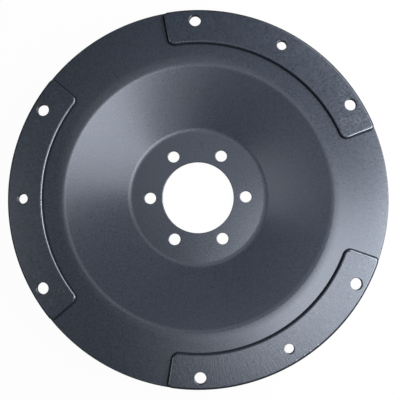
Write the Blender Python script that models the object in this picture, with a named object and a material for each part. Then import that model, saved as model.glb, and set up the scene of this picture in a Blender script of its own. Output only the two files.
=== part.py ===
"""Torque converter input plate: a dished sheet steel disc with three arc pads on its rim.

Metres and degrees, +Z up. The plate lies face up on the flat underside of its hub, with its
axis on Z. The pads stand on the front of the rim, and one of them is centred on -X.
"""

import math

import bmesh
import bpy
from mathutils import Matrix

MM = 0.001

# Pressed sheet
PLATE_DIAMETER = 340.0 * MM
SHEET_THICKNESS = 3.2 * MM
DISH_DEPTH = 16.3 * MM
HUB_BEND_RADIUS = 20.0 * MM
RIM_BEND_RADIUS = 21.0 * MM
RIM_EASE_RADIUS = 130.0 * MM
RIM_EASE_ANGLE = 3.3
BLANK_EDGE_RADIUS = 0.8 * MM

# Hub: the sunken flat middle, with its bore and its ring of bolt holes
BORE_DIAMETER = 65.4 * MM
BORE_TO_BOLT_HOLES = 5.95 * MM
HUB_BOLT_COUNT = 6
HUB_BOLT_HOLE_DIAMETER = 10.5 * MM
BOLT_HOLES_TO_BEND = 10.55 * MM

# Pads: arcs of flat plate, spot welded on the front of the rim and flush with its edge
PAD_NAMES = ("rim_pad_upper_right", "rim_pad_left", "rim_pad_lower_right")
FIRST_PAD_AT = 60.0
GAP_BETWEEN_PADS = 40.2
PAD_WIDTH = 31.0 * MM
PAD_THICKNESS = 2.5 * MM
PAD_INNER_CORNER_RADIUS = 6.0 * MM
PAD_OUTER_CORNER_RADIUS = 4.0 * MM
PAD_EDGE_RADIUS = 1.0 * MM
PAD_TO_RIM_BEND = 9.2 * MM
SEAT_GAP = 0.3 * MM

# Rim bolts, through pad and rim: a hole near each end of a pad and a smaller one halfway
END_HOLE_DIAMETER = 10.5 * MM
END_HOLE_TO_RIM_EDGE = 4.95 * MM
END_HOLE_TO_PAD_END = 9.9
MIDDLE_HOLE_DIAMETER = 8.8 * MM
MIDDLE_HOLE_TO_RIM_EDGE = 9.25 * MM

# Fineness of the round shapes
TURN_STEPS = 120
HOLE_STEPS = 24
BEND_STEPS = 4
EASE_STEPS = 2
CORNER_STEPS = 5
EDGE_STEPS = 2
CUTTER_OVERRUN = 5.0 * MM
SHARP_ANGLE = 35.0
LEVEL_NORMAL = 0.9999

# Shares of the room there is that a bend or a round edge may take
BEND_LIMIT = 0.9
FILLET_LIMIT = 0.45

PAINT_COLOUR = (0.090, 0.106, 0.137, 1.0)
PAINT_ROUGHNESS = 0.45

plate_radius = PLATE_DIAMETER / 2
bore_radius = BORE_DIAMETER / 2
hub_bolt_circle = bore_radius + BORE_TO_BOLT_HOLES + HUB_BOLT_HOLE_DIAMETER / 2
hub_flat_radius = hub_bolt_circle + HUB_BOLT_HOLE_DIAMETER / 2 + BOLT_HOLES_TO_BEND
pad_inner_radius = plate_radius - PAD_WIDTH
rim_flat_radius = pad_inner_radius - PAD_TO_RIM_BEND
pad_spacing = 360.0 / len(PAD_NAMES)
pad_half_angle = (pad_spacing - GAP_BETWEEN_PADS) / 2
rim_face = SHEET_THICKNESS + DISH_DEPTH
pad_seat = rim_face + SEAT_GAP
pad_face = pad_seat + PAD_THICKNESS


def clear_scene():
    """Empty the scene that the script is run in."""
    for thing in list(bpy.data.objects):
        bpy.data.objects.remove(thing)


def paint(name):
    """Satin blue-grey paint on steel."""
    material = bpy.data.materials.new(name)
    material.use_nodes = True
    shader = material.node_tree.nodes["Principled BSDF"]
    shader.inputs["Base Color"].default_value = PAINT_COLOUR
    shader.inputs["Roughness"].default_value = PAINT_ROUGHNESS
    shader.inputs["Metallic"].default_value = 0.0
    material.diffuse_color = PAINT_COLOUR
    return material


def shade(mesh):
    """Smooth the round faces, and keep the flats and the corners crisp."""
    mesh.shade_smooth()
    mesh.set_sharp_from_angle(angle=math.radians(SHARP_ANGLE))
    for face in mesh.polygons:
        face.use_smooth = abs(face.normal.z) < LEVEL_NORMAL


def add_object(name, bm, parent):
    """Turn a bmesh into an object that hangs on the parent."""
    bmesh.ops.recalc_face_normals(bm, faces=bm.faces)
    mesh = bpy.data.meshes.new(name)
    bm.to_mesh(mesh)
    bm.free()
    shade(mesh)
    thing = bpy.data.objects.new(name, mesh)
    thing.parent = parent
    bpy.context.collection.objects.link(thing)
    return thing


def polar(radius, degrees):
    """The point at a radius and an angle from the first axis."""
    angle = math.radians(degrees)
    return radius * math.cos(angle), radius * math.sin(angle)


def arc(centre, radius, start, end, steps):
    """Points from start to end, in degrees, on a circle, with both ends."""
    points = []
    for step in range(steps + 1):
        x, y = polar(radius, start + (end - start) * step / steps)
        points.append((centre[0] + x, centre[1] + y))
    return points


def slope_room(rim_bend, rim_ease):
    """The width and the height that are left for the slope and its two tight bends."""
    eased = math.radians(RIM_EASE_ANGLE)
    width = rim_flat_radius - hub_flat_radius - (rim_ease - rim_bend) * math.sin(eased)
    height = DISH_DEPTH - (rim_ease - rim_bend) * (1 - math.cos(eased))
    return width, height


def dish_bends():
    """The bends' radii on the front face, and the slope's angle in degrees.

    The rim's bend has a tight part beside the slope and a wide part that eases it into the
    flat. The slope is the straight line that is tangent to the hub's bend and to the tight
    part. The bends are only as large as the width and the depth of the dish leave room for.
    """
    width, height = slope_room(RIM_BEND_RADIUS, RIM_EASE_RADIUS)
    room = (width ** 2 + height ** 2) / (2 * height)
    share = min(1.0, BEND_LIMIT * room / (HUB_BEND_RADIUS + RIM_BEND_RADIUS))
    hub_bend = HUB_BEND_RADIUS * share
    rim_bend = RIM_BEND_RADIUS * share
    rim_ease = RIM_EASE_RADIUS * share
    width, height = slope_room(rim_bend, rim_ease)
    both = hub_bend + rim_bend
    drop = height - both
    length = math.sqrt(width ** 2 + drop ** 2 - both ** 2)
    slope = math.atan2(both * width + length * drop, length * width - both * drop)
    return hub_bend, rim_bend, rim_ease, math.degrees(slope)


def dish_section():
    """The sheet's section as (radius, height): out along the back, and in along the front."""
    hub_bend, rim_bend, rim_ease, slope = dish_bends()
    eased = 90 + RIM_EASE_ANGLE
    hub_centre = (hub_flat_radius, SHEET_THICKNESS + hub_bend)
    ease_centre = (rim_flat_radius, rim_face - rim_ease)
    x, y = polar(rim_ease - rim_bend, eased)
    rim_centre = (ease_centre[0] + x, ease_centre[1] + y)
    edge = min(BLANK_EDGE_RADIUS, FILLET_LIMIT * SHEET_THICKNESS)
    edge_centre = (plate_radius - edge, rim_face - edge)
    back = [(bore_radius, 0.0)]
    back += arc(hub_centre, hub_bend + SHEET_THICKNESS, -90, slope - 90, BEND_STEPS)
    back += arc(rim_centre, rim_bend - SHEET_THICKNESS, slope + 90, eased, BEND_STEPS)
    back += arc(ease_centre, rim_ease - SHEET_THICKNESS, eased, 90, EASE_STEPS)[1:]
    back += [(plate_radius, DISH_DEPTH)]
    front = arc(edge_centre, edge, 0, 90, EDGE_STEPS)
    front += arc(ease_centre, rim_ease, 90, eased, EASE_STEPS)[:-1]
    front += arc(rim_centre, rim_bend, eased, slope + 90, BEND_STEPS)
    front += arc(hub_centre, hub_bend, slope - 90, -90, BEND_STEPS)
    front += [(bore_radius, SHEET_THICKNESS)]
    return back + front


def make_plate(parent):
    """The dished disc, turned from its section."""
    bm = bmesh.new()
    points = [bm.verts.new((radius, 0.0, height)) for radius, height in dish_section()]
    lines = [bm.edges.new(pair) for pair in zip(points, points[1:] + points[:1])]
    bmesh.ops.spin(bm, geom=points + lines, cent=(0, 0, 0), axis=(0, 0, 1),
                   angle=math.tau, steps=TURN_STEPS, use_merge=True)
    plate = add_object("dished_plate", bm, parent)
    plate.data.materials.append(paint("dished_plate_paint"))
    return plate


def pad_angles():
    """The angle of each pad's middle, in the order of their names."""
    return [FIRST_PAD_AT + pad_spacing * pad for pad in range(len(PAD_NAMES))]


def pad_outline():
    """A pad's outline, centred on +X: two arcs, two radial ends and four round corners."""
    outer = min(PAD_OUTER_CORNER_RADIUS, FILLET_LIMIT * PAD_WIDTH)
    inner = min(PAD_INNER_CORNER_RADIUS, FILLET_LIMIT * PAD_WIDTH)
    outer_turn = plate_radius - outer
    inner_turn = pad_inner_radius + inner
    outer_at = pad_half_angle - math.degrees(math.asin(outer / outer_turn))
    inner_at = pad_half_angle - math.degrees(math.asin(inner / inner_turn))
    end = pad_half_angle + 90
    long_steps = math.ceil(2 * pad_half_angle * TURN_STEPS / 360)
    outline = arc((0, 0), plate_radius, -outer_at, outer_at, long_steps)[1:-1]
    outline += arc(polar(outer_turn, outer_at), outer, outer_at, end, CORNER_STEPS)
    outline += arc(polar(inner_turn, inner_at), inner, end, inner_at + 180, CORNER_STEPS)
    outline += arc((0, 0), pad_inner_radius, inner_at, -inner_at, long_steps)[1:-1]
    outline += arc(polar(inner_turn, -inner_at), inner, 180 - inner_at, 360 - end, CORNER_STEPS)
    outline += arc(polar(outer_turn, -outer_at), outer, -end, -outer_at, CORNER_STEPS)
    return outline


def make_pad(name, angle, parent):
    """A flat arc pad on its seat, with a round edge all round its face."""
    bm = bmesh.new()
    base = bm.faces.new([bm.verts.new((x, y, 0.0)) for x, y in pad_outline()])
    raised = bmesh.ops.extrude_face_region(bm, geom=[base], use_keep_orig=True)["geom"]
    top = [item for item in raised if isinstance(item, bmesh.types.BMVert)]
    bmesh.ops.translate(bm, verts=top, vec=(0, 0, PAD_THICKNESS))
    rim = [edge for edge in bm.edges if all(vert in top for vert in edge.verts)]
    edge_radius = min(PAD_EDGE_RADIUS, FILLET_LIMIT * PAD_THICKNESS)
    bmesh.ops.bevel(bm, geom=rim, offset=edge_radius, segments=EDGE_STEPS, profile=0.5,
                    affect="EDGES")
    pad = add_object(name, bm, parent)
    pad.location.z = pad_seat
    pad.rotation_euler.z = math.radians(angle)
    pad.data.materials.append(paint(name + "_paint"))
    return pad


def hole_places():
    """Every bolt hole as (diameter, radius of its circle, angle)."""
    holes = []
    for bolt in range(HUB_BOLT_COUNT):
        holes.append((HUB_BOLT_HOLE_DIAMETER, hub_bolt_circle, bolt * 360.0 / HUB_BOLT_COUNT))
    end_circle = plate_radius - END_HOLE_TO_RIM_EDGE - END_HOLE_DIAMETER / 2
    middle_circle = plate_radius - MIDDLE_HOLE_TO_RIM_EDGE - MIDDLE_HOLE_DIAMETER / 2
    reach = pad_half_angle - END_HOLE_TO_PAD_END
    for angle in pad_angles():
        holes.append((END_HOLE_DIAMETER, end_circle, angle - reach))
        holes.append((MIDDLE_HOLE_DIAMETER, middle_circle, angle))
        holes.append((END_HOLE_DIAMETER, end_circle, angle + reach))
    return holes


def make_hole_cutter(parent):
    """One upright cylinder for each bolt hole, running past both faces."""
    bottom = -CUTTER_OVERRUN
    top = pad_face + CUTTER_OVERRUN
    bm = bmesh.new()
    for diameter, circle, angle in hole_places():
        x, y = polar(circle, angle)
        bmesh.ops.create_cone(bm, cap_ends=True, segments=HOLE_STEPS, radius1=diameter / 2,
                              radius2=diameter / 2, depth=top - bottom,
                              matrix=Matrix.Translation((x, y, (top + bottom) / 2)))
    cutter = add_object("bolt_hole_cutter", bm, parent)
    cutter.hide_render = True
    cutter.display_type = "WIRE"
    return cutter


def drill(thing, cutter):
    """Cut the bolt holes that pass through a piece."""
    holes = thing.modifiers.new("Bolt holes", "BOOLEAN")
    holes.operation = "DIFFERENCE"
    holes.solver = "EXACT"
    holes.object = cutter


def main():
    clear_scene()
    assembly = bpy.data.objects.new("input_plate", None)
    bpy.context.collection.objects.link(assembly)
    cutter = make_hole_cutter(assembly)
    drill(make_plate(assembly), cutter)
    for name, angle in zip(PAD_NAMES, pad_angles()):
        drill(make_pad(name, angle, assembly), cutter)


main()
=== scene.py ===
"""Looks of the torque converter input plate: fine edges, weld marks, satin paint, floor and light.

Metres and degrees, +Z up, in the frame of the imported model. Every piece of the plate is made
again here with finer curves, rounded hole edges and the marks that spot welds leave.
"""

import math

import bmesh
import bpy
from mathutils import Matrix, Vector


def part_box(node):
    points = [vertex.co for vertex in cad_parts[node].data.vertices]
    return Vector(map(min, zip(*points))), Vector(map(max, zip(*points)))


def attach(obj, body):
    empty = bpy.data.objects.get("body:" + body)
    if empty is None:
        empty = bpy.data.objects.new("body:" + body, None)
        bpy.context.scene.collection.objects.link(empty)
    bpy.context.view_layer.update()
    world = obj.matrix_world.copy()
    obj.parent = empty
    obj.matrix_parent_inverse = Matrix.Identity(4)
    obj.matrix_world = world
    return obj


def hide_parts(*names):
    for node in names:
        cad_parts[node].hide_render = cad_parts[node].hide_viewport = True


MM = 0.001

# Pressed sheet
SHEET_THICKNESS = 3.2 * MM
HUB_BEND_RADIUS = 20.0 * MM
RIM_BEND_RADIUS = 21.0 * MM
RIM_EASE_RADIUS = 130.0 * MM
RIM_EASE_ANGLE = 3.3
BLANK_EDGE_RADIUS = 0.8 * MM
SHEARED_EDGE_RADIUS = 0.5 * MM

# Hub
BORE_DIAMETER = 65.4 * MM
BORE_TO_BOLT_HOLES = 5.95 * MM
HUB_BOLT_COUNT = 6
HUB_BOLT_HOLE_DIAMETER = 10.5 * MM
BOLT_HOLES_TO_BEND = 10.55 * MM

# Pads
PAD_AT = {"rim_pad_upper_right": 60.0, "rim_pad_left": 180.0, "rim_pad_lower_right": 300.0}
GAP_BETWEEN_PADS = 40.2
PAD_WIDTH = 31.0 * MM
PAD_INNER_CORNER_RADIUS = 6.0 * MM
PAD_OUTER_CORNER_RADIUS = 4.0 * MM
PAD_EDGE_RADIUS = 2.1 * MM
PAD_TO_RIM_BEND = 9.2 * MM

# Rim bolts
END_HOLE_DIAMETER = 10.5 * MM
END_HOLE_TO_RIM_EDGE = 4.95 * MM
END_HOLE_TO_PAD_END = 9.9
MIDDLE_HOLE_DIAMETER = 8.8 * MM
MIDDLE_HOLE_TO_RIM_EDGE = 9.25 * MM
HOLE_EDGE_RADIUS = 0.6 * MM
HOLE_FLARE_LIFT = 0.02

# Spot welds on each side of a pad's middle: degrees from the middle, and distance from the edge
WELD_PLACES = ((5.3, 13.6 * MM), (25.3, 11.0 * MM), (34.0, 23.0 * MM), (35.6, 11.5 * MM))
WELD_RING_RADIUS = 2.5 * MM
WELD_GROOVE_RADIUS = 2.0 * MM
WELD_GROOVE_DEPTH = 0.03 * MM

# Fineness of the round shapes
TURN_STEPS = 720
HOLE_STEPS = 96
BEND_STEPS = 12
EASE_STEPS = 8
CORNER_STEPS = 16
EDGE_STEPS = 8
RING_STEPS = 48
CUTTER_OVERRUN = 5.0 * MM
MERGE_DISTANCE = 0.001 * MM
SHARP_ANGLE = 40.0

# Satin paint, as linear colours
PAINT_COLOUR = (0.040, 0.049, 0.067)
PAINT_GLOSS_TINT = (0.82, 0.88, 1.0, 1.0)
PAINT_ROUGHNESS = 0.202
PAINT_IOR = 1.7
PAINT_GLOSS_LEVEL = 1.0
# Pale flecks at the pads' outer edge: bare nicks in the paint, and partly painted glints
WEAR_AND_GLINT_COLOUR = (0.30, 0.31, 0.33, 1.0)

# Grain, clouds and orange peel of the paint. Scales are per metre. A tone or a roughness is how far
# the noise moves it to each side, over the range of the noise's values
NOISE_RANGE = (0.3, 0.7)
GRAIN_SCALE = 650.0
GRAIN_DETAIL = 4.0
GRAIN_SHARPNESS = 0.7
GRAIN_TONE = 0.28
GRAIN_ROUGHNESS = 0.02
CLOUD_SCALE = 22.0
CLOUD_DETAIL = 3.0
CLOUD_TONE = 0.04
PEEL_SCALE = 900.0
PEEL_DETAIL = 2.0
PEEL_STRENGTH = 0.25
PEEL_HEIGHT = 0.055 * MM

# Radial grinding marks under the pads' paint: per radian round the axis, and per metre along the
# radius, so that each is long and narrow
STREAK_RANGE = (0.35, 0.65)
STREAKS_ROUND = 150.0
STREAKS_ALONG = 120.0
STREAK_DETAIL = 3.0
STREAK_SHARPNESS = 0.6
STREAK_TONE = 0.04
STREAK_ROUGHNESS = 0.03
STREAK_RELIEF = 7.0

# Marks: tone as a share of the paint's, and change of roughness
SPECK = (0.3, 0.2)
SMUDGE = (0.7, 0.02)
WELD_RING = (1.18, -0.01)
WELD_DOT = (0.8, 0.03)

# Where marks fade out: share of a round mark's radius that is full, and distances from a weld
# ring's line and from a weld's middle between which they fade
MARK_CORE = 1 / 3
WELD_RING_FADE = (0.3 * MM, 0.8 * MM)
WELD_DOT_FADE = (0.4 * MM, 0.8 * MM)

# Painted shade: dull dark colour on hole walls, on outline edges and pad walls, and in crevices,
# where shade falls. It starts at a tilt, which is smaller close to the plate's outside
WALL_SHADE_COLOUR = (0.007, 0.009, 0.014)
EDGE_AND_CREVICE_SHADE_COLOUR = (0.018, 0.021, 0.029)
WALL_ROUGHNESS = 0.6
WALL_GLOSS_LEVEL = 0.1
WALL_FROM = 50.0
OUTSIDE_FROM = 12.0
OUTSIDE_WIDTH = 2.2 * MM
LEVEL_TILT = 0.1

# Places of the paints in a piece's list
OPEN_FACE = 0
SHADED_HOLE_WALL = 1
SHADED_EDGE = 2

# Dark crevice on the rim at a pad's foot: a shallow recess whose dark floor is painted shade, and
# partly the dark gap between pad and rim
SEAM_WIDTH = 0.9 * MM
SEAM_DEPTH = 0.05 * MM
SEAM_FLOOR_SLACK = SEAM_DEPTH / 10

# Places of marks in the paint: distance from the axis, direction and radius of each
PLATE_SPECKS = ((128.6 * MM, 337.4, 0.6 * MM),)
HUB_SMUDGES = ((45.4 * MM, 283.6, 3.5 * MM), (50.0 * MM, 85.8, 2.5 * MM))
PAD_SPECKS = ((148.3 * MM, 329.6, 0.7 * MM), (152.1 * MM, 265.4, 0.6 * MM),
              (153.1 * MM, 266.5, 0.6 * MM), (150.4 * MM, 274.4, 0.6 * MM),
              (161.5 * MM, 300.5, 0.6 * MM))
# Pale flecks at the pads' outer edge: wear, and partly painted glints
WEAR_AND_GLINT_FLECKS = ((167.7 * MM, 308.1, 0.9 * MM), (167.7 * MM, 305.2, 0.8 * MM),
               (167.7 * MM, 303.0, 0.7 * MM), (167.7 * MM, 300.2, 0.8 * MM))

# Camera: where the photograph was taken from, seen from the middle of the rim's front face
CAMERA_DISTANCE = 597.7 * MM
CAMERA_SHIFT_X = -2.04 * MM
CAMERA_SHIFT_Y = 3.54 * MM
CAMERA_PITCH = -4.280
CAMERA_YAW = -0.854
CAMERA_ROLL = 0.928
LENS_MM = 60.2
SENSOR_MM = 36.0

# Lights: direction as an angle round the axis, distance from the axis, height over the rim, size
# and level, the share of its colour that a dull level face in the middle shows
LIGHTS = (
    ("key_light", 342.0, 0.820, 3.000, 0.93, 0.062),
    ("second_key_light", 309.0, 1.080, 3.900, 1.52, 0.020),
    ("hub_light", 335.0, 0.430, 3.000, 0.70, 0.018),
    ("top_light", 111.0, 0.287, 1.544, 0.45, 0.009),
    ("right_light", 354.0, 0.380, 0.250, 0.32, 0.640),
    ("upper_right_light", 36.0, 0.500, 0.300, 0.46, 0.400),
    ("left_light", 184.0, 1.362, 2.097, 1.10, 0.034),
    ("low_left_light", 180.0, 1.942, 1.033, 1.00, 0.050),
)

# Surroundings: the floor's glow is the share of plain white in it, where it is seen or mirrored
WHITE = (1.0, 1.0, 1.0, 1.0)
WORLD_STRENGTH = 0.01
FLOOR_COLOUR = (0.85, 0.85, 0.85, 1.0)
FLOOR_GLOW = 0.97
FLOOR_SIZE = 30.0


def polar(radius, degrees):
    """The point at a radius and an angle from the first axis."""
    angle = math.radians(degrees)
    return radius * math.cos(angle), radius * math.sin(angle)


def arc(centre, radius, start, end, steps):
    """Points from start to end, in degrees, on a circle, with both ends."""
    points = []
    for step in range(steps + 1):
        x, y = polar(radius, start + (end - start) * step / steps)
        points.append((centre[0] + x, centre[1] + y))
    return points


def mesh_object(name, bm):
    """Turn a bmesh into an object in the scene."""
    bmesh.ops.recalc_face_normals(bm, faces=bm.faces)
    mesh = bpy.data.meshes.new(name)
    bm.to_mesh(mesh)
    bm.free()
    thing = bpy.data.objects.new(name, mesh)
    bpy.context.collection.objects.link(thing)
    return thing


def spun(profile, steps, closed=True):
    """A bmesh of a profile of (radius, height) turned all the way round Z."""
    bm = bmesh.new()
    points = [bm.verts.new((radius, 0.0, height)) for radius, height in profile]
    following = points[1:] + points[:1] if closed else points[1:]
    lines = [bm.edges.new(pair) for pair in zip(points, following)]
    bmesh.ops.spin(bm, geom=points + lines, cent=(0, 0, 0), axis=(0, 0, 1),
                   angle=math.tau, steps=steps, use_merge=True)
    return bm


def keep_evaluated(thing):
    """Apply a thing's modifiers."""
    graph = bpy.context.evaluated_depsgraph_get()
    mesh = bpy.data.meshes.new_from_object(thing.evaluated_get(graph))
    thing.modifiers.clear()
    thing.data = mesh


def cut(thing, cutter):
    """Cut one solid out of another, and remove the cutter."""
    modifier = thing.modifiers.new("Cut", "BOOLEAN")
    modifier.operation = "DIFFERENCE"
    modifier.solver = "EXACT"
    modifier.object = cutter
    keep_evaluated(thing)
    bpy.data.objects.remove(cutter)


def smooth(thing):
    """Smooth shading whose large flat faces stay flat up to their round edges."""
    thing.data.shade_smooth()
    thing.data.set_sharp_from_angle(angle=math.radians(SHARP_ANGLE))
    weighted = thing.modifiers.new("Even flats", "WEIGHTED_NORMAL")
    weighted.keep_sharp = True
    keep_evaluated(thing)


class Sizes:
    """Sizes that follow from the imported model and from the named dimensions."""

    def __init__(self):
        low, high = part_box("dished_plate")
        pad_low, pad_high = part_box("rim_pad_left")
        self.plate_radius = (high.x - low.x) / 2
        self.rim_face = high.z
        self.pad_seat = pad_low.z
        self.pad_face = pad_high.z
        self.dish_depth = self.rim_face - SHEET_THICKNESS
        self.bore_radius = BORE_DIAMETER / 2
        self.hub_circle = self.bore_radius + BORE_TO_BOLT_HOLES + HUB_BOLT_HOLE_DIAMETER / 2
        self.hub_flat = self.hub_circle + HUB_BOLT_HOLE_DIAMETER / 2 + BOLT_HOLES_TO_BEND
        self.pad_inner = self.plate_radius - PAD_WIDTH
        self.rim_flat = self.pad_inner - PAD_TO_RIM_BEND
        self.pad_half_angle = (360.0 / len(PAD_AT) - GAP_BETWEEN_PADS) / 2


def slope_angle(sizes):
    """The slope of the dish, in degrees: the straight line that is tangent to both bends."""
    eased = math.radians(RIM_EASE_ANGLE)
    wider = RIM_EASE_RADIUS - RIM_BEND_RADIUS
    width = sizes.rim_flat - sizes.hub_flat - wider * math.sin(eased)
    both = HUB_BEND_RADIUS + RIM_BEND_RADIUS
    drop = sizes.dish_depth - wider * (1 - math.cos(eased)) - both
    length = math.sqrt(width ** 2 + drop ** 2 - both ** 2)
    return math.degrees(math.atan2(both * width + length * drop, length * width - both * drop))


def dish_section(sizes):
    """The sheet's closed section as (radius, height), with its round edges."""
    slope = slope_angle(sizes)
    edge = BLANK_EDGE_RADIUS
    small = SHEARED_EDGE_RADIUS
    bore = sizes.bore_radius
    outer = sizes.plate_radius
    eased = 90 + RIM_EASE_ANGLE
    hub_centre = (sizes.hub_flat, SHEET_THICKNESS + HUB_BEND_RADIUS)
    ease_centre = (sizes.rim_flat, sizes.rim_face - RIM_EASE_RADIUS)
    x, y = polar(RIM_EASE_RADIUS - RIM_BEND_RADIUS, eased)
    rim_centre = (ease_centre[0] + x, ease_centre[1] + y)
    rim_back = sizes.rim_face - SHEET_THICKNESS
    section = arc((bore + small, small), small, 180, 270, EDGE_STEPS)
    section += arc(hub_centre, HUB_BEND_RADIUS + SHEET_THICKNESS, -90, slope - 90, BEND_STEPS)
    section += arc(rim_centre, RIM_BEND_RADIUS - SHEET_THICKNESS, slope + 90, eased, BEND_STEPS)
    section += arc(ease_centre, RIM_EASE_RADIUS - SHEET_THICKNESS, eased, 90, EASE_STEPS)[1:]
    section += arc((outer - small, rim_back + small), small, -90, 0, EDGE_STEPS)
    section += arc((outer - edge, sizes.rim_face - edge), edge, 0, 90, EDGE_STEPS)
    section += arc(ease_centre, RIM_EASE_RADIUS, 90, eased, EASE_STEPS)[:-1]
    section += arc(rim_centre, RIM_BEND_RADIUS, eased, slope + 90, BEND_STEPS)
    section += arc(hub_centre, HUB_BEND_RADIUS, slope - 90, -90, BEND_STEPS)
    section += arc((bore + small, SHEET_THICKNESS - small), small, 90, 180, EDGE_STEPS)
    return section


def hole_cutter(diameter, x, y, low, high):
    """A cutter for one hole through a flat wall, which rounds the wall's edges at both faces.

    Its flares start a little outside the faces, so that they cross them cleanly.
    """
    radius = diameter / 2
    edge = HOLE_EDGE_RADIUS
    wide = radius + edge
    inside = edge * (1 - HOLE_FLARE_LIFT)
    profile = [(0.0, low - CUTTER_OVERRUN), (wide, low - CUTTER_OVERRUN)]
    profile += arc((wide, low + inside), edge, 270, 180, EDGE_STEPS)
    profile += arc((wide, high - inside), edge, 180, 90, EDGE_STEPS)
    profile += [(wide, high + CUTTER_OVERRUN), (0.0, high + CUTTER_OVERRUN)]
    bm = spun(profile, HOLE_STEPS, closed=False)
    bmesh.ops.remove_doubles(bm, verts=bm.verts, dist=MERGE_DISTANCE)
    bmesh.ops.translate(bm, verts=bm.verts, vec=(x, y, 0))
    return mesh_object("hole_cutter", bm)


def joined(things):
    """Several cutters as one."""
    bm = bmesh.new()
    for thing in things:
        bm.from_mesh(thing.data)
        bpy.data.objects.remove(thing)
    return mesh_object("cutter", bm)


def hub_holes(sizes):
    """The ring of bolt holes round the bore: (diameter, x, y)."""
    return [(HUB_BOLT_HOLE_DIAMETER, *polar(sizes.hub_circle, bolt * 360.0 / HUB_BOLT_COUNT))
            for bolt in range(HUB_BOLT_COUNT)]


def rim_holes(sizes, middle):
    """The three holes of the pad whose middle lies at an angle: (diameter, x, y)."""
    reach = sizes.pad_half_angle - END_HOLE_TO_PAD_END
    end_circle = sizes.plate_radius - END_HOLE_TO_RIM_EDGE - END_HOLE_DIAMETER / 2
    middle_circle = sizes.plate_radius - MIDDLE_HOLE_TO_RIM_EDGE - MIDDLE_HOLE_DIAMETER / 2
    return [(END_HOLE_DIAMETER, *polar(end_circle, middle - reach)),
            (MIDDLE_HOLE_DIAMETER, *polar(middle_circle, middle)),
            (END_HOLE_DIAMETER, *polar(end_circle, middle + reach))]


def pad_outline(sizes, grown=0.0):
    """A pad's outline, centred on +X: two arcs, two radial ends and four round corners.

    It can be grown by a distance on all sides.
    """
    outer, inner = PAD_OUTER_CORNER_RADIUS + grown, PAD_INNER_CORNER_RADIUS + grown
    outermost, innermost = sizes.plate_radius + grown, sizes.pad_inner - grown
    half_angle = sizes.pad_half_angle + math.degrees(2 * grown / (outermost + innermost))
    outer_turn = outermost - outer
    inner_turn = innermost + inner
    outer_at = half_angle - math.degrees(math.asin(outer / outer_turn))
    inner_at = half_angle - math.degrees(math.asin(inner / inner_turn))
    end = half_angle + 90
    steps = math.ceil(2 * half_angle * TURN_STEPS / 360)
    outline = arc((0, 0), outermost, -outer_at, outer_at, steps)[1:-1]
    outline += arc(polar(outer_turn, outer_at), outer, outer_at, end, CORNER_STEPS)
    outline += arc(polar(inner_turn, inner_at), inner, end, inner_at + 180, CORNER_STEPS)
    outline += arc((0, 0), innermost, inner_at, -inner_at, steps)[1:-1]
    outline += arc(polar(inner_turn, -inner_at), inner, 180 - inner_at, 360 - end, CORNER_STEPS)
    outline += arc(polar(outer_turn, -outer_at), outer, -end, -outer_at, CORNER_STEPS)
    return outline


def slab(outline, low, high, turn):
    """A bmesh of an upright solid on an outline, turned round the axis, and its top vertices."""
    bm = bmesh.new()
    base = bm.faces.new([bm.verts.new((x, y, low)) for x, y in outline])
    raised = bmesh.ops.extrude_face_region(bm, geom=[base], use_keep_orig=True)["geom"]
    top = [item for item in raised if isinstance(item, bmesh.types.BMVert)]
    bmesh.ops.translate(bm, verts=top, vec=(0, 0, high - low))
    bmesh.ops.rotate(bm, verts=bm.verts, cent=(0, 0, 0),
                     matrix=Matrix.Rotation(math.radians(turn), 3, "Z"))
    return bm, top


def make_plate(sizes):
    """The dished disc with its holes, and with a shallow crevice where each pad stands, whose floor
    takes painted shade.
    """
    plate = mesh_object("dished_plate_surface", spun(dish_section(sizes), TURN_STEPS))
    cutters = [hole_cutter(diameter, x, y, 0.0, SHEET_THICKNESS)
               for diameter, x, y in hub_holes(sizes)]
    for middle in PAD_AT.values():
        for diameter, x, y in rim_holes(sizes, middle):
            low = sizes.rim_face - SHEET_THICKNESS
            cutters.append(hole_cutter(diameter, x, y, low, sizes.rim_face))
    cut(plate, joined(cutters))
    seams = []
    for middle in PAD_AT.values():
        seam, _ = slab(pad_outline(sizes, SEAM_WIDTH), sizes.rim_face - SEAM_DEPTH,
                       sizes.rim_face + CUTTER_OVERRUN, middle)
        seams.append(mesh_object("seam_cutter", seam))
    cut(plate, joined(seams))
    smooth(plate)
    return plate


def weld_ring(sizes, radius, angle):
    """A cutter for the shallow ring that a spot weld leaves on the pad's face."""
    x, y = polar(radius, angle)
    height = sizes.pad_face + WELD_GROOVE_RADIUS - WELD_GROOVE_DEPTH
    circle = arc((WELD_RING_RADIUS, 0), WELD_GROOVE_RADIUS, 0, 360, RING_STEPS)[:-1]
    bm = spun(circle, RING_STEPS)
    bmesh.ops.translate(bm, verts=bm.verts, vec=(x, y, height))
    return mesh_object("weld_ring_cutter", bm)


def make_pad(sizes, name, middle):
    """A flat arc pad with round edges, three holes and the rings of its spot welds."""
    bm, top = slab(pad_outline(sizes), sizes.pad_seat, sizes.pad_face, middle)
    rim = [edge for edge in bm.edges if all(vert in top for vert in edge.verts)]
    bmesh.ops.bevel(bm, geom=rim, offset=PAD_EDGE_RADIUS, segments=EDGE_STEPS, profile=0.5,
                    affect="EDGES")
    pad = mesh_object(name + "_surface", bm)
    cutters = [hole_cutter(diameter, x, y, sizes.pad_seat, sizes.pad_face)
               for diameter, x, y in rim_holes(sizes, middle)]
    for side in (-1, 1):
        for degrees, from_edge in WELD_PLACES:
            cutters.append(weld_ring(sizes, sizes.plate_radius - from_edge,
                                     middle + side * degrees))
    cut(pad, joined(cutters))
    smooth(pad)
    return pad


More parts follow.
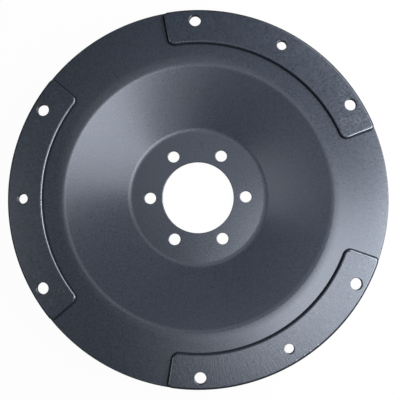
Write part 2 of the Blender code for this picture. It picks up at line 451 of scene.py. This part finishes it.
class Nodes:
    """Short calls for building a material's nodes."""

    def __init__(self, name):
        self.material = bpy.data.materials.new(name)
        self.material.use_nodes = True
        self.tree = self.material.node_tree
        self.shader = self.tree.nodes["Principled BSDF"]
        self.place = self.add("ShaderNodeTexCoord").outputs["Object"]
        split = self.add("ShaderNodeSeparateXYZ")
        self.link(self.place, split.inputs[0])
        self.x, self.y = split.outputs[:2]
        self.flat = self.vector(self.x, self.y, 0.0)

    def add(self, kind, **settings):
        node = self.tree.nodes.new(kind)
        for key, value in settings.items():
            setattr(node, key, value)
        return node

    def link(self, output, node_input):
        if isinstance(output, (int, float, tuple)):
            node_input.default_value = output
        else:
            self.tree.links.new(output, node_input)

    def maths(self, operation, *values):
        node = self.add("ShaderNodeMath", operation=operation)
        for value, node_input in zip(values, node.inputs):
            self.link(value, node_input)
        return node.outputs[0]

    def vector(self, *values):
        node = self.add("ShaderNodeCombineXYZ")
        for value, node_input in zip(values, node.inputs):
            self.link(value, node_input)
        return node.outputs[0]

    def distance(self, first, second):
        node = self.add("ShaderNodeVectorMath", operation="DISTANCE")
        self.link(first, node.inputs[0])
        self.link(second, node.inputs[1])
        return node.outputs["Value"]

    def noise(self, vector, scale, detail, roughness=0.5):
        node = self.add("ShaderNodeTexNoise")
        self.link(vector, node.inputs["Vector"])
        node.inputs["Scale"].default_value = scale
        node.inputs["Detail"].default_value = detail
        node.inputs["Roughness"].default_value = roughness
        return node.outputs["Fac"]

    def between(self, value, low, high, start=0.0, end=1.0):
        """Map a value from start..end to low..high, and clamp it."""
        node = self.add("ShaderNodeMapRange")
        for item, node_input in zip((value, start, end, low, high), node.inputs):
            self.link(item, node_input)
        return node.outputs["Result"]

    def around(self, value, middle, spread, ends):
        """Map a value between two ends to a middle minus or plus a spread, and clamp it."""
        return self.between(value, middle - spread, middle + spread, *ends)

    def mix(self, factor, first, second):
        node = self.add("ShaderNodeMix", data_type="RGBA")
        colours = [item for item in node.inputs if item.type == "RGBA"]
        self.link(factor, node.inputs["Factor"])
        self.link(first, colours[0])
        self.link(second, colours[1])
        return [item for item in node.outputs if item.type == "RGBA"][0]

    def polar_place(self):
        """Angle in radians and distance from the axis of a point."""
        angle = self.maths("ARCTAN2", self.y, self.x)
        return angle, self.distance(self.flat, (0.0, 0.0, 0.0))

    def pad_place(self):
        """Angle from the middle of the nearest pad, and distance from the axis."""
        angle, radius = self.polar_place()
        turn = math.tau / len(PAD_AT)
        first = math.radians(min(PAD_AT.values()))
        aside = self.maths("WRAP", self.maths("SUBTRACT", angle, first), turn / 2, -turn / 2)
        return self.maths("ABSOLUTE", aside), radius


class Paint(Nodes):
    """Thin satin paint on pressed steel: fine orange peel and soft mottling."""

    def __init__(self, name):
        super().__init__(name)
        grain = self.noise(self.place, GRAIN_SCALE, GRAIN_DETAIL, GRAIN_SHARPNESS)
        clouds = self.noise(self.place, CLOUD_SCALE, CLOUD_DETAIL)
        self.tone = self.maths("MULTIPLY", self.around(grain, 1.0, GRAIN_TONE, NOISE_RANGE),
                               self.around(clouds, 1.0, CLOUD_TONE, NOISE_RANGE))
        self.roughness = self.around(grain, PAINT_ROUGHNESS, GRAIN_ROUGHNESS, NOISE_RANGE)
        self.relief = self.noise(self.place, PEEL_SCALE, PEEL_DETAIL)

    def change(self, mask, tone, roughness):
        """Multiply the tone, and add to the roughness, where a mask is one."""
        self.tone = self.maths("MULTIPLY", self.tone, self.between(mask, 1.0, tone))
        self.roughness = self.maths("ADD", self.roughness, self.between(mask, 0.0, roughness))

    def marks(self, places):
        """A mask of round marks: one in the middle of each, and nought outside it."""
        mask = 0.0
        for radius, angle, size in places:
            distance = self.distance(self.flat, (*polar(radius, angle), 0.0))
            mark = self.between(distance, 1.0, 0.0, size * MARK_CORE, size)
            mask = self.maths("MAXIMUM", mask, mark)
        return mask

    def finish(self, colour, wear_and_glint=0.0):
        """Link colour, roughness and relief to the shader."""
        shade = self.add("ShaderNodeVectorMath", operation="SCALE")
        shade.inputs[0].default_value = colour
        self.link(self.tone, shade.inputs["Scale"])
        bump = self.add("ShaderNodeBump")
        bump.inputs["Strength"].default_value = PEEL_STRENGTH
        bump.inputs["Distance"].default_value = PEEL_HEIGHT
        self.link(self.relief, bump.inputs["Height"])
        self.link(self.mix(wear_and_glint, shade.outputs["Vector"], WEAR_AND_GLINT_COLOUR),
                  self.shader.inputs["Base Color"])
        self.link(self.roughness, self.shader.inputs["Roughness"])
        self.link(bump.outputs["Normal"], self.shader.inputs["Normal"])
        return self.material


def gloss(paint, level):
    """Set the gloss that is the same all over a surface."""
    paint.shader.inputs["IOR"].default_value = PAINT_IOR
    paint.shader.inputs["Specular IOR Level"].default_value = level
    paint.shader.inputs["Specular Tint"].default_value = PAINT_GLOSS_TINT


def plate_paint():
    """The plate's paint, with a speck on the rim and smudges on the hub."""
    paint = Paint("plate_satin_paint")
    paint.change(paint.marks(PLATE_SPECKS), *SPECK)
    paint.change(paint.marks(HUB_SMUDGES), *SMUDGE)
    gloss(paint, PAINT_GLOSS_LEVEL)
    return paint.finish(PAINT_COLOUR)


def weld_distance(paint, sizes):
    """Distance from the middle of the nearest spot weld."""
    aside, radius = paint.pad_place()
    place = paint.vector(paint.maths("MULTIPLY", radius, paint.maths("COSINE", aside)),
                         paint.maths("MULTIPLY", radius, paint.maths("SINE", aside)), 0.0)
    nearest = sizes.plate_radius
    for degrees, from_edge in WELD_PLACES:
        weld = (*polar(sizes.plate_radius - from_edge, degrees), 0.0)
        nearest = paint.maths("MINIMUM", nearest, paint.distance(place, weld))
    return nearest


def pad_paint(sizes):
    """The pads' paint over radial grinding marks, pale on the weld rings, with pale flecks at the
    edge that are wear and partly painted glints.
    """
    paint = Paint("pad_satin_paint")
    angle, radius = paint.polar_place()
    along = paint.vector(paint.maths("MULTIPLY", angle, STREAKS_ROUND),
                         paint.maths("MULTIPLY", radius, STREAKS_ALONG), 0.0)
    streak = paint.noise(along, 1.0, STREAK_DETAIL, STREAK_SHARPNESS)
    paint.tone = paint.maths("MULTIPLY", paint.tone,
                             paint.around(streak, 1.0, STREAK_TONE, STREAK_RANGE))
    paint.roughness = paint.maths("ADD", paint.roughness,
                                  paint.around(streak, 0.0, STREAK_ROUGHNESS, STREAK_RANGE))
    paint.relief = paint.maths("ADD", paint.relief,
                               paint.maths("MULTIPLY", streak, STREAK_RELIEF))
    from_weld = weld_distance(paint, sizes)
    from_ring = paint.maths("ABSOLUTE", paint.maths("SUBTRACT", from_weld, WELD_RING_RADIUS))
    paint.change(paint.between(from_ring, 1.0, 0.0, *WELD_RING_FADE), *WELD_RING)
    paint.change(paint.between(from_weld, 1.0, 0.0, *WELD_DOT_FADE), *WELD_DOT)
    paint.change(paint.marks(PAD_SPECKS), *SPECK)
    gloss(paint, PAINT_GLOSS_LEVEL)
    return paint.finish(PAINT_COLOUR, paint.marks(WEAR_AND_GLINT_FLECKS))


def shaded_paint(name, colour):
    """Dull dark colour on hole walls, edges and crevices: painted shade."""
    paint = Paint(name)
    paint.roughness = paint.maths("ADD", paint.roughness, WALL_ROUGHNESS - PAINT_ROUGHNESS)
    gloss(paint, WALL_GLOSS_LEVEL)
    return paint.finish(colour)


def paint_index(face, holes, sizes):
    """Which of a piece's paints a face takes: open face, painted shade on a wall in a hole, or
    painted shade on an edge and in a crevice.
    """
    x, y, z = face.center
    tilt = math.degrees(math.acos(min(1.0, abs(face.normal.z))))
    above_seam = z - (sizes.rim_face - SEAM_DEPTH)
    # The seam's floor, and steep faces on edges and in holes, take painted shade
    if abs(above_seam) < SEAM_FLOOR_SLACK and tilt < LEVEL_TILT:
        return SHADED_EDGE
    outside = math.hypot(x, y) > sizes.plate_radius - OUTSIDE_WIDTH
    if tilt < (OUTSIDE_FROM if outside else WALL_FROM):
        return OPEN_FACE
    in_hole = any(math.hypot(x - middle_x, y - middle_y) < diameter / 2 + HOLE_EDGE_RADIUS
                  for diameter, middle_x, middle_y in holes)
    return SHADED_HOLE_WALL if in_hole else SHADED_EDGE


def dress(piece, node, paints, holes, sizes):
    """Paint a piece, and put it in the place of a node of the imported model."""
    piece.data.materials.clear()
    for paint in paints:
        piece.data.materials.append(paint)
    for face in piece.data.polygons:
        face.material_index = paint_index(face, holes, sizes)
    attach(piece, "root")
    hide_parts(node)


def make_floor():
    """A plain pale floor that is white where it is seen or mirrored and keeps a faint shadow."""
    bpy.ops.mesh.primitive_plane_add(size=FLOOR_SIZE)
    floor = bpy.context.object
    floor.name = "floor"
    material = bpy.data.materials.new("floor_white")
    material.use_nodes = True
    tree = material.node_tree
    tree.nodes.clear()
    out = tree.nodes.new("ShaderNodeOutputMaterial")
    blend = tree.nodes.new("ShaderNodeMixShader")
    plain = tree.nodes.new("ShaderNodeBsdfDiffuse")
    plain.inputs["Color"].default_value = FLOOR_COLOUR
    glow = tree.nodes.new("ShaderNodeEmission")
    glow.inputs["Color"].default_value = WHITE
    glow.inputs["Strength"].default_value = 1.0
    path = tree.nodes.new("ShaderNodeLightPath")
    seen = path.outputs["Is Camera Ray"]
    for ray in ("Is Glossy Ray", "Is Transmission Ray"):
        either = tree.nodes.new("ShaderNodeMath")
        either.operation = "MAXIMUM"
        tree.links.new(seen, either.inputs[0])
        tree.links.new(path.outputs[ray], either.inputs[1])
        seen = either.outputs[0]
    share = tree.nodes.new("ShaderNodeMath")
    share.operation = "MULTIPLY"
    share.inputs[1].default_value = FLOOR_GLOW
    tree.links.new(seen, share.inputs[0])
    tree.links.new(share.outputs[0], blend.inputs["Fac"])
    tree.links.new(plain.outputs[0], blend.inputs[1])
    tree.links.new(glow.outputs[0], blend.inputs[2])
    tree.links.new(blend.outputs[0], out.inputs["Surface"])
    floor.data.materials.append(material)


def make_light(name, azimuth, offset, height, size, level, centre):
    """A square soft light that faces the middle of the plate, with the power for its level.

    The power follows from the distance and from the slant at which the light meets the face.
    """
    x, y = polar(offset, azimuth)
    data = bpy.data.lights.new(name, "AREA")
    data.shape = "SQUARE"
    data.size = size
    distance = math.hypot(offset, height)
    data.energy = math.pi ** 2 * distance ** 3 / height * level
    light = bpy.data.objects.new(name, data)
    bpy.context.collection.objects.link(light)
    light.location = centre + Vector((x, y, height))
    light.rotation_euler = (centre - light.location).to_track_quat("-Z", "Y").to_euler()
    light.visible_camera = False


def make_world():
    """A dim, even surrounding."""
    world = bpy.data.worlds.new("studio")
    world.use_nodes = True
    background = world.node_tree.nodes["Background"]
    background.inputs["Color"].default_value = WHITE
    background.inputs["Strength"].default_value = WORLD_STRENGTH
    bpy.context.scene.world = world


def make_camera(centre):
    """The photograph's view, nearly straight down on the plate."""
    turn = (Matrix.Rotation(math.radians(CAMERA_YAW), 3, "Y")
            @ Matrix.Rotation(math.radians(CAMERA_PITCH), 3, "X")
            @ Matrix.Rotation(math.radians(CAMERA_ROLL), 3, "Z")).transposed()
    data = bpy.data.cameras.new("camera")
    data.lens = LENS_MM
    data.sensor_width = SENSOR_MM
    camera = bpy.data.objects.new("camera", data)
    bpy.context.collection.objects.link(camera)
    back = turn @ Vector((-CAMERA_SHIFT_X, -CAMERA_SHIFT_Y, CAMERA_DISTANCE))
    camera.matrix_world = Matrix.Translation(centre + back) @ turn.to_4x4()
    bpy.context.scene.camera = camera


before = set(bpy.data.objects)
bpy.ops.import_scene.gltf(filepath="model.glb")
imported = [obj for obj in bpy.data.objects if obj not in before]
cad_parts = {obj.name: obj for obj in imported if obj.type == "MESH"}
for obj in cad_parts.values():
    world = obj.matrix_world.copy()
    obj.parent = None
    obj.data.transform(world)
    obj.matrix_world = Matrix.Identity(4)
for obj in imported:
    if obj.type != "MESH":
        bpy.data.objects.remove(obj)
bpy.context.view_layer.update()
sizes = Sizes()
holes = [(BORE_DIAMETER, 0.0, 0.0), *hub_holes(sizes)]
for middle in PAD_AT.values():
    holes += rim_holes(sizes, middle)
# Painted shade: dark dull colours for hole walls, and for outline edges, pad walls and the crevices
# at the pads' feet
dull = [shaded_paint("wall_painted_shade", WALL_SHADE_COLOUR), shaded_paint("edge_and_crevice_painted_shade", EDGE_AND_CREVICE_SHADE_COLOUR)]
dress(make_plate(sizes), "dished_plate", [plate_paint(), *dull], holes, sizes)
pad_paints = [pad_paint(sizes), *dull]
for pad_name, middle in PAD_AT.items():
    dress(make_pad(sizes, pad_name, middle), pad_name, pad_paints, holes, sizes)
rim_centre = Vector((0.0, 0.0, sizes.rim_face))
make_camera(rim_centre)
for settings in LIGHTS:
    make_light(*settings, rim_centre)
make_world()
make_floor()
bpy.context.scene.view_settings.view_transform = "Standard"
